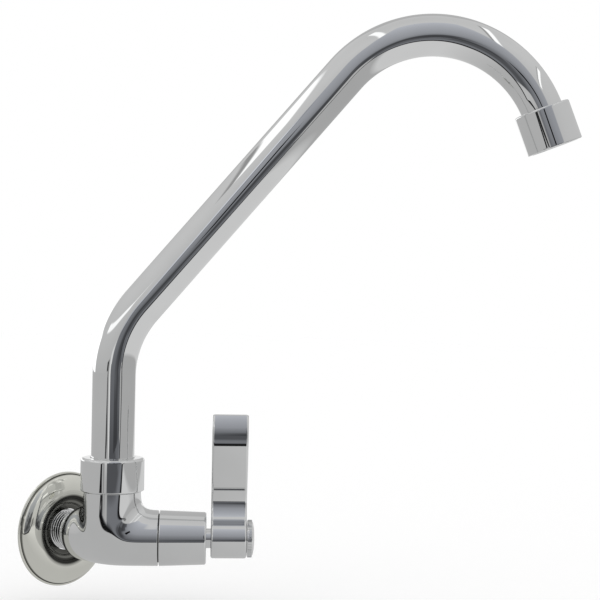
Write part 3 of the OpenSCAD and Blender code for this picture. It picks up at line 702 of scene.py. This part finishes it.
def makeBodyBlank():
    # tubes and balls that overlap, remeshed to one skin and drawn onto the soft union
    shape = bodyShape
    tangent = shape["bendR"] * tan(radians(shape["valveAngle"]) / 2) * mm
    shankEnd = Vector((0, -shape["shankGap"] * mm, 0))
    corner = swivelPoint + Vector((0, tangent, 0))
    branchEnd = swivelPoint + valveAxis * (shape["branchEnd"] + shape["spare"]) * mm
    riserEnd = swivelPoint + upAxis * (shape["shoulder"] + shape["spare"]) * mm
    blank = cylinderAt("bodyCasting", shape["branchR"], shankEnd, corner)
    parts = [cylinderAt("branchBlank", shape["branchR"], swivelPoint + valveAxis * tangent, branchEnd),
             cylinderAt("riserBlank", shape["riserR"], swivelPoint, riserEnd)]
    for centre in (corner, swivelPoint, swivelPoint + valveAxis * tangent):
        deselectAll()
        bpy.ops.mesh.primitive_uv_sphere_add(
            segments=64, ring_count=32, radius=(shape["branchR"] - shape["ballGap"]) * mm, location=centre)
        parts.append(bpy.context.object)
    activate(blank)
    for part in parts:
        part.select_set(True)
    bpy.ops.object.join()
    settle()
    applyModifier(blank, "REMESH", mode="VOXEL", voxel_size=shape["voxel"] * mm, adaptivity=0)
    union = SoftUnion(shape["gridLow"], shape["gridHigh"], shape["gridStep"], shape["blend"])
    origin = np.array(swivelPoint)
    for _ in range(shape["rounds"]):
        applyModifier(blank, "SMOOTH", factor=0.5, iterations=4)
        points = np.empty(len(blank.data.vertices) * 3)
        blank.data.vertices.foreach_get("co", points)
        points = union.pull(points.reshape(-1, 3) / mm - origin / mm)
        blank.data.vertices.foreach_set("co", ((points * mm) + origin).ravel())
        blank.data.update()
    return blank


def makeThread():
    # a ridge wound round a core, trimmed to the thread's envelope; Z runs into the wall
    shape = inletThread
    start, length, majorR = shape["start"], shape["length"], shape["majorR"]
    minor = majorR - shape["depth"]
    flank = [(minor - shape["sink"], shape["pitch"] / 2 - shape["land"]),
             (majorR - shape["shoulder"], shape["shoulderHalf"]), (majorR + shape["proud"], shape["crestHalf"])]
    section = [(radius, -height) for radius, height in flank] + flank[::-1]
    ridge = addRing("threadRidge", len(section), 1.0)
    for vertex, (radius, height) in zip(ridge.data.vertices, section):
        vertex.co = Vector((radius, 0, height + start - shape["pitch"])) * mm
    applyModifier(ridge, "SCREW", axis="Z", angle=2 * pi, screw_offset=shape["pitch"] * mm,
                  iterations=int((length - start) / shape["pitch"]) + 2, steps=48, render_steps=48)
    activate(ridge)
    startEdit("DESELECT")
    bpy.ops.mesh.select_non_manifold()
    bpy.ops.mesh.fill_holes(sides=8)
    endEdit()
    core = cylinderAt("threadCore", minor, upAxis * (start - shape["spare"]) * mm,
                      upAxis * (length + shape["spare"]) * mm)
    cut(core, ridge, "UNION")
    envelope = turned("threadEnvelope", [
        (axisR, start), (majorR, start), (majorR, -shape["relief"]), (shape["reliefR"], -shape["relief"]),
        (shape["reliefR"], 0.0), (majorR, 0.0), (majorR, length - shape["lead"]),
        (majorR - shape["lead"], length), (axisR, length)], Matrix(), 96, solid=True)
    cut(core, envelope, "INTERSECT")
    core.matrix_world = frameMatrix(Vector(), Vector((1, 0, 0)), Vector((0, 0, -1)), Vector((0, 1, 0)))
    activate(core)
    settle()
    return core


def tubeEnd(radius, end, far):
    # the part of a cutter that bevels a tube's end and clears all beyond it
    shape = bodyBores
    low = end - shape["edge"] - shape["lap"]
    around = radius + shape["around"]
    return [(radius - shape["edge"], end), (radius + shape["lap"], low), (around, low), (around, far),
            (axisR, far)]


def makeBodyCasting():
    shape, bores = bodyShape, bodyBores
    end, shoulder, top = shape["branchEnd"], shape["shoulder"], heights("thrust_washer_lower")[0]
    mouth, tip, inletR, face = bores["mouth"], bores["tip"], bores["inletR"], -inletThread["length"]
    inletStop = -swivelPoint.y / mm - bores["inletStop"]
    inlet = [(axisR, face - 2 * mouth), (inletR + mouth, face - bores["faceGap"]), (inletR, face + mouth),
             (inletR, inletStop), (axisR, inletStop + tip)]
    seatR, chamberR, threadR, lead = bores["seatR"], bores["chamberR"], bores["threadR"], bores["threadLead"]
    valve = [(axisR, -bores["seatRun"] - tip), (seatR, -bores["seatRun"]), (seatR, bores["seatS"]),
             (chamberR, bores["seatS"]), (chamberR, bores["chamberEnd"]), (threadR, bores["chamberEnd"]),
             (threadR, end - lead), (threadR + lead, end)]
    riserR, socketR, socketLead = bores["riserR"], bores["socketR"], bores["socketLead"]
    neckR, neckLead = bores["neckR"], bores["neckLead"]
    riser = [(axisR, bores["riserZ"]), (riserR, bores["riserZ"]), (riserR, bores["socketZ"]),
             (socketR, bores["socketZ"]), (socketR, top - socketLead), (socketR + socketLead, top),
             (neckR - neckLead, top), (neckR, top - neckLead), (neckR, shoulder)]
    valve += tubeEnd(shape["branchR"], end, end + bores["beyond"])
    riser += tubeEnd(shape["riserR"], shoulder, top + bores["beyond"])
    piece = makeBodyBlank()
    cut(piece, makeThread(), "UNION")
    for profile, place in ((inlet, wallPlace), (valve, valvePlace), (riser, uprightPlace)):
        cut(piece, turned("cutter", profile, place, solid=True))
    mergeClose(piece)
    smooth(piece, 35)
    finishPiece(piece, "root", "chrome_plate", chromePlate, "body_casting")


makeBodyCasting()


leverShape = {"hubR": 10.1, "hubLength": 18.4, "neckR": 5.0, "boreR": 4.05, "web": 2.0, "pocketR": 7.1,
              "screwHoleR": 2.8, "boreEnd": 62.4, "bladeT": 4.2, "rootR": 11.8, "rootAngle": 58.0,
              "lean": 35.0, "sweepR": 51.0, "tipR": 16.7, "tipTurn": 38.0, "edge": 1.2,
              "bite": 0.05, "fillet": 1.5, "neckEdge": 0.3, "neckLap": 1.0, "spare": 2.0}


def leverArc(centre, radius, start, end, steps):
    angles = [radians(start + (end - start) * step / steps) for step in range(steps + 1)]
    return [centre + radius * Vector((cos(angle), sin(angle))) for angle in angles]


def leverOutline():
    # hub, hollow, long sweep and curl, then back down to a small fillet at the hub; forwards and up, in mm
    shape = leverShape
    hubR, thickness, fillet = shape["hubR"], shape["bladeT"], shape["fillet"]
    rootR, sweepR, tipR = shape["rootR"], shape["sweepR"], shape["tipR"]
    rootAngle, lean, tipTurn = shape["rootAngle"], shape["lean"], shape["tipTurn"]
    reach = hubR - shape["bite"] + rootR
    outward = Vector((cos(radians(rootAngle)), sin(radians(rootAngle))))
    rootCentre = outward * reach
    sweepCentre = rootCentre - (rootR + sweepR) * Vector((cos(radians(lean)), -sin(radians(lean))))
    tipCentre = sweepCentre + Vector((sweepR - tipR, 0))
    crossing = acos((hubR ** 2 + reach ** 2 - rootR ** 2) / (2 * hubR * reach))
    rootStart = 180 + rootAngle - degrees(asin(hubR * sin(crossing) / rootR))
    near, far = hubR + fillet, rootR + thickness + fillet
    filletTurn = rootAngle + degrees(acos((near ** 2 + reach ** 2 - far ** 2) / (2 * near * reach)))
    filletCentre = near * Vector((cos(radians(filletTurn)), sin(radians(filletTurn))))
    offset = filletCentre - rootCentre
    rootEnd = degrees(atan2(offset.y, offset.x)) % 360
    outline = leverArc(Vector((0, 0)), hubR, filletTurn, 360 + rootAngle + degrees(crossing), 112)
    outline += leverArc(rootCentre, rootR, rootStart, 180 - lean, 30)[1:]
    outline += leverArc(sweepCentre, sweepR, -lean, 0, 30)[1:]
    outline += leverArc(tipCentre, tipR, 0, tipTurn, 16)[1:]
    outline += leverArc(tipCentre, tipR - thickness, tipTurn, 0, 16)
    outline += leverArc(sweepCentre, sweepR - thickness, 0, -lean, 30)[1:]
    outline += leverArc(rootCentre, rootR + thickness, 180 - lean, rootEnd, 20)[1:]
    outline += leverArc(filletCentre, fillet, rootEnd - 180, filletTurn - 180, 8)[1:-1]
    return outline


def makeLeverBlank(back, front):
    outline = leverOutline()
    blank = addRing("leverHandle", len(outline), 1.0, filled=True)
    for vertex, point in zip(blank.data.vertices, outline):
        vertex.co = Vector((point.x, -point.y, back)) * mm
    startEdit()
    bpy.ops.mesh.extrude_region_move(TRANSFORM_OT_translate={"value": (0, 0, (front - back) * mm)})
    endEdit()
    blank.matrix_world = valvePlace
    settle()
    applyModifier(blank, "BEVEL", width=leverShape["edge"] * mm, segments=4, limit_method="ANGLE",
                  angle_limit=radians(50), use_clamp_overlap=False)
    return blank


def makeLeverHandle():
    shape = leverShape
    neckEnd, front = alongValve("lever_handle")
    back = front - shape["hubLength"]
    piece = makeLeverBlank(back, front)
    neckR, edge, inHub = shape["neckR"], shape["neckEdge"], back + shape["neckLap"]
    cut(piece, turned("neck", [
        (axisR, neckEnd), (neckR - edge, neckEnd), (neckR, neckEnd + edge), (neckR, inHub), (axisR, inHub)],
        valvePlace, solid=True), "UNION")
    first, last = neckEnd - shape["spare"], front + shape["spare"]
    webBack, webFront = shape["boreEnd"], shape["boreEnd"] + shape["web"]
    cut(piece, turned("leverBore", [
        (axisR, first), (shape["boreR"], first), (shape["boreR"], webBack), (shape["screwHoleR"], webBack),
        (shape["screwHoleR"], webFront), (shape["pocketR"], webFront), (shape["pocketR"], last), (axisR, last)],
        valvePlace, solid=True))
    mergeClose(piece)
    smooth(piece, 35)
    applyModifier(piece, "WEIGHTED_NORMAL", keep_sharp=True)
    finishPiece(piece, "lever", "chrome_plate", chromePlate, "lever_handle")


makeLeverHandle()


# the nodes that keep their shape
nodeFinishes = {
    "spout_ferrule": turnedBrass, "headwork_body": turnedBrass, "spindle": turnedBrass,
    "spout_o_rings": blackRubber, "aerator_washer": blackRubber, "headwork_gasket": blackRubber,
    "seat_seal": blackRubber, "spindle_o_rings": blackRubber, "thrust_washer_lower": whiteAcetal,
    "thrust_washer_upper": whiteAcetal, "aerator_insert": whiteAcetal, "stream_straightener": whiteAcetal,
    "fixed_disc": lappedCeramic, "moving_disc": lappedCeramic, "aerator_screen": satinSteel,
    "spindle_clip": satinSteel, "handle_screw": satinSteel}

for node, material in nodeFinishes.items():
    mesh = frame["nodes"][node].data
    mesh.materials.clear()
    mesh.materials.append(material)


studio = {"place": (-0.45463, -0.56644, 0.1232), "azimuth": -48.5, "roll": 1.0, "lens": 81.0, "sensor": 36.0,
          "floorZ": -0.042, "floorSize": 8.0}
# the pale table that polished metal sees, its sides sloping off a straight front, in metres towards
# the camera from the swivel axis and to the camera's right; ranges are (from, to, level at from, level at to)
tableTop = {"front": 0.265, "notchRight": 0.16, "slopeRight": 0.7, "notchLeft": -0.24, "slopeLeft": -2.1,
            "stretch": (-0.27, -0.24, 0.35, 1), "band": 0.045, "edge": 0.01,
            "level": (0.02, 0.2, 0.52, 0.71), "farRight": (0.44, 0.5, 1, 0.66),
            "floor": (0.126, 0.216, 0.21, 0.10), "floorRight": (0.2, 0.3, 0, 0.16),
            "shade": (0.036, 0.0675, 0.04, 1), "end": (0.045, 0.0585, 1, 0),
            "gapLeft": -0.21, "gapRight": (0.58, 0.61, 1, 0)}
# the dim gap that the camera stands in, and its level by height in metres
cameraGap = {"away": 0.75, "left": -0.13, "right": 0.62, "top": 1.6, "edge": 0.03,
             "leftEdge": (0.55, 0.75, -0.13, 0.03), "tint": (0.95, 0.98, 1.06)}
gapLevels = ((-0.05, 0.09), (0.0, 0.14), (0.05, 0.18), (0.1, 0.22), (0.165, 0.26), (0.22, 0.30),
             (0.3, 0.36), (0.44, 0.40), (0.6, 0.44), (0.8, 0.48), (1.08, 0.53), (1.6, 0.6))
# things that stand in the gap: from, to, from height, to height, factor, softness
gapPatches = ((0.12, 0.40, -0.06, 0.04, 0.5, 0.06), (0.28, 0.66, 0.03, 0.16, 0.34, 0.05),
              (0.42, 0.66, 0.16, 0.22, 0.36, 0.04), (-0.16, -0.075, 0.14, 0.56, 2.0, 0.01),
              (-0.075, -0.035, 0.10, 0.56, 0.75, 0.01), (0.145, 0.205, 0.11, 0.30, 0.02, 0.01))
# light around the object by height over the horizon, in degrees
studioHeights = ((-90, 0.64), (-40, 0.62), (-15, 0.56), (-8, 0.47), (-4, 0.52), (3, 0.56), (20, 0.62),
                 (45, 0.68), (65, 0.66), (90, 0.63))
# strip lamps and dark joints in the ceiling, over their height: to the camera's right from, to,
# towards the camera from, to, slant, level
ceilingLamps = ((-0.97, -0.84, -0.7, 0.7, 0.0, 1.3), (-1.01, -0.97, -0.7, 0.7, 0.0, 0.35),
                (-0.385, -0.32, 0.0, 1.1, 0.21, 1.3), (0.485, 0.55, -0.1, 1.65, 0.22, 1.3),
                (0.455, 0.485, -0.1, 1.65, 0.22, 0.35), (1.22, 1.3, -0.1, 2.4, 0.18, 1.3),
                (1.19, 1.22, -0.1, 2.4, 0.18, 0.4))
lampEdges = {"right": 0.02, "near": 0.06, "lowest": 0.02}
# lamps and dark flags: azimuth from, to (right of the camera is positive), height from, to, level, softness
studioCards = (
    (-160, -115, -3, 13, 1.5, 3.0), (-84, -28, 17.5, 22.3, 1.25, 1.5), (152, 181, -9, 7, 1.0, 1.0),
    (-181, -160, -9, 7, 1.0, 1.0), (132, 152, -10, -1, 0.42, 3.0), (-25.5, -22, -9, 1, 0.3, 0.7),
    (-36, -29.5, -12, -6.4, 0.02, 0.8), (-32.5, -25.8, -6.4, 1, 0.03, 0.5), (150, 184, 12, 62, 0.53, 4.0),
    (-184, -150, 12, 62, 0.53, 4.0), (-19, -11, -7, 2, 0.8, 1.5), (36, 38.5, -10, -6.5, 0.15, 0.7),
    (45, 52, -6.5, 3, 0.22, 1.0), (43.5, 46.5, -10, -6.5, 0.02, 0.8), (95, 99, -9, 1, 0.2, 0.8),
    (-99, -96, -22, -12, 0.1, 0.8))
white = grey(1)


def makeCamera():
    data = bpy.data.cameras.new("camera")
    data.lens = studio["lens"]
    data.sensor_width = studio["sensor"]
    camera = bpy.data.objects.new("camera", data)
    bpy.context.collection.objects.link(camera)
    turn = Matrix.Rotation(radians(studio["azimuth"]), 3, "Z") @ Matrix.Rotation(pi / 2, 3, "X")
    camera.rotation_euler = (turn @ Matrix.Rotation(radians(studio["roll"]), 3, "Z")).to_euler()
    camera.location = studio["place"]
    bpy.context.scene.camera = camera


def fromCamera(tree, output, origin):
    # X to the right of the camera, Y away from it, Z up
    place = tree.nodes.new("ShaderNodeTexCoord").outputs[output]
    turn = tree.nodes.new("ShaderNodeMapping")
    turn.inputs["Rotation"].default_value = (0, 0, -radians(studio["azimuth"]))
    turn.inputs["Location"].default_value = -(Matrix.Rotation(-radians(studio["azimuth"]), 3, "Z") @ origin)
    tree.links.new(place, turn.inputs["Vector"])
    split = tree.nodes.new("ShaderNodeSeparateXYZ")
    tree.links.new(turn.outputs["Vector"], split.inputs[0])
    return split.outputs["X"], split.outputs["Y"], split.outputs["Z"]


def window(tree, value, low, high, soft):
    rise = mapRange(tree, value, low - soft / 2, low + soft / 2, 0, 1)
    return times(tree, rise, mapRange(tree, value, high - soft / 2, high + soft / 2, 1, 0))


def addPatch(tree, colour, level, firstSpan, secondSpan):
    # each span: value, from, to, softness
    share = times(tree, window(tree, *firstSpan), window(tree, *secondSpan))
    return mixColours(tree, share, colour, grey(level))


def makeWorld():
    # white all round; polished metal sees the studio's lamps and flags instead
    world = bpy.data.worlds.new("studio")
    bpy.context.scene.world = world
    world.use_nodes = True
    tree = world.node_tree
    tree.nodes.clear()
    right, away, up = fromCamera(tree, "Generated", Vector())
    near = times(tree, away, -1.0)
    side = times(tree, mathNode(tree, "ARCTAN2", right, near), 180 / pi)
    height = times(tree, mathNode(tree, "ARCSINE", up), 180 / pi)
    colour = levelRamp(tree, height, studioHeights)
    for sideFrom, sideTo, heightFrom, heightTo, level, soft in studioCards:
        colour = addPatch(tree, colour, level, (side, sideFrom, sideTo, soft),
                          (height, heightFrom, heightTo, soft))
    overhead = mathNode(tree, "MAXIMUM", up, lampEdges["lowest"])
    rightUp = mathNode(tree, "DIVIDE", right, overhead)
    nearUp = mathNode(tree, "DIVIDE", near, overhead)
    for rightFrom, rightTo, nearFrom, nearTo, slant, level in ceilingLamps:
        straight = minus(tree, rightUp, times(tree, nearUp, slant))
        colour = addPatch(tree, colour, level, (straight, rightFrom, rightTo, lampEdges["right"]),
                          (nearUp, nearFrom, nearTo, lampEdges["near"]))
    path = tree.nodes.new("ShaderNodeLightPath")
    light = tree.nodes.new("ShaderNodeBackground")
    tree.links.new(mixColours(tree, path.outputs["Is Glossy Ray"], white, colour), light.inputs["Color"])
    output = tree.nodes.new("ShaderNodeOutputWorld")
    tree.links.new(light.outputs[0], output.inputs["Surface"])


def mixShaders(tree, share, first, second):
    node = tree.nodes.new("ShaderNodeMixShader")
    for socket, value in zip(node.inputs, (share, first, second)):
        tree.links.new(value, socket)
    return node.outputs[0]


def glow(tree, colour):
    light = tree.nodes.new("ShaderNodeEmission")
    tree.links.new(colour, light.inputs["Color"])
    return light.outputs[0]


def stageMaterial(piece, name):
    # an empty material on the piece, and what tells its glossy rays from the others
    material = bpy.data.materials.new(name)
    material.use_nodes = True
    piece.data.materials.append(material)
    tree = material.node_tree
    tree.nodes.clear()
    return tree, tree.nodes.new("ShaderNodeLightPath").outputs["Is Glossy Ray"]


def finishStage(tree, surface):
    output = tree.nodes.new("ShaderNodeOutputMaterial")
    tree.links.new(surface, output.inputs["Surface"])


def pastTable(tree, right, near):
    # how far a spot lies past the table's front
    shape = tableTop
    past = minus(tree, near, shape["front"])
    for side in ("Right", "Left"):
        recess = times(tree, minus(tree, right, shape["notch" + side]), shape["slope" + side])
        past = minus(tree, past, mathNode(tree, "MAXIMUM", recess, 0.0))
    return times(tree, past, mapRange(tree, right, *shape["stretch"]))


def tableColour(tree, right, past):
    # the table, then its black front band and the dim floor beyond
    shape = tableTop
    table = times(tree, mapRange(tree, right, *shape["level"]), mapRange(tree, right, *shape["farRight"]))
    beyond = mathNode(tree, "MAXIMUM", mapRange(tree, past, *shape["floor"]),
                      mapRange(tree, right, *shape["floorRight"]))
    beyond = times(tree, beyond, mapRange(tree, past, *shape["shade"]))
    level = mathNode(tree, "ADD", times(tree, table, mapRange(tree, past, -shape["edge"], 0, 1, 0)),
                     times(tree, beyond, mapRange(tree, past, -shape["edge"], 0, 0, 1)))
    tint = mixColours(tree, mapRange(tree, past, 0, shape["band"], 0, 1), white, (*cameraGap["tint"], 1))
    return multiplyColours(tree, tint, level)


def makeFloor():
    # plain white, but polished metal sees the table, and looks through the floor beyond it beside the gap
    deselectAll()
    bpy.ops.mesh.primitive_plane_add(size=studio["floorSize"], location=(0, 0, studio["floorZ"]))
    floor = bpy.context.object
    floor.name = "floor"
    settle()
    tree, isGlossy = stageMaterial(floor, "paleFloor")
    right, away, _ = fromCamera(tree, "Object", swivelPoint)
    near = times(tree, away, -1.0)
    past = pastTable(tree, right, near)
    edge = tableTop["edge"]
    fromLeft = minus(tree, right, times(tree, near, tableTop["gapLeft"]))
    inGap = times(tree, mapRange(tree, fromLeft, -edge, edge, 0, 1),
                  mapRange(tree, right, *tableTop["gapRight"]))
    solid = mathNode(tree, "MAXIMUM", inGap, mapRange(tree, past, *tableTop["end"]))
    clear = tree.nodes.new("ShaderNodeBsdfTransparent").outputs[0]
    plain = tree.nodes.new("ShaderNodeBsdfDiffuse")
    plain.inputs["Color"].default_value = white
    reflected = mixShaders(tree, solid, clear, glow(tree, tableColour(tree, right, past)))
    finishStage(tree, mixShaders(tree, isGlossy, plain.outputs[0], reflected))


def makeCameraGap():
    # a tall dim card behind the camera that only polished metal sees
    shape = cameraGap
    turn = Matrix.Rotation(radians(studio["azimuth"]), 3, "Z")
    rightwards, towards = turn @ Vector((1, 0, 0)), turn @ Vector((0, -1, 0))
    low, edge = studio["floorZ"], shape["edge"]
    middle = swivelPoint + towards * shape["away"] + rightwards * (shape["left"] + shape["right"]) / 2
    middle.z = (low + shape["top"]) / 2
    deselectAll()
    bpy.ops.mesh.primitive_plane_add(size=1, location=(0, 0, 0))
    card = bpy.context.object
    card.name = "cameraGap"
    card.matrix_world = frameMatrix(middle, rightwards * (shape["right"] - shape["left"] + 2 * edge),
                                    upAxis * (shape["top"] - low), towards)
    settle()
    tree, isGlossy = stageMaterial(card, "dimGap")
    right, _, up = fromCamera(tree, "Object", swivelPoint)
    colour = levelRamp(tree, up, gapLevels)
    for sideFrom, sideTo, heightFrom, heightTo, factor, soft in gapPatches:
        colour = multiplyColours(tree, colour, addPatch(
            tree, white, factor, (right, sideFrom, sideTo, soft), (up, heightFrom, heightTo, soft)))
    colour = multiplyColours(tree, colour, (*shape["tint"], 1))
    inside = minus(tree, right, mapRange(tree, up, *shape["leftEdge"]))
    share = times(tree, mapRange(tree, inside, -edge / 2, edge / 2, 0, 1),
                  mapRange(tree, right, shape["right"] - edge, shape["right"] + edge, 1, 0))
    clear = tree.nodes.new("ShaderNodeBsdfTransparent").outputs[0]
    finishStage(tree, mixShaders(tree, times(tree, share, isGlossy), clear, glow(tree, colour)))


makeCamera()
makeWorld()
makeFloor()
makeCameraGap()
print("studio ready")

print("scene ready")
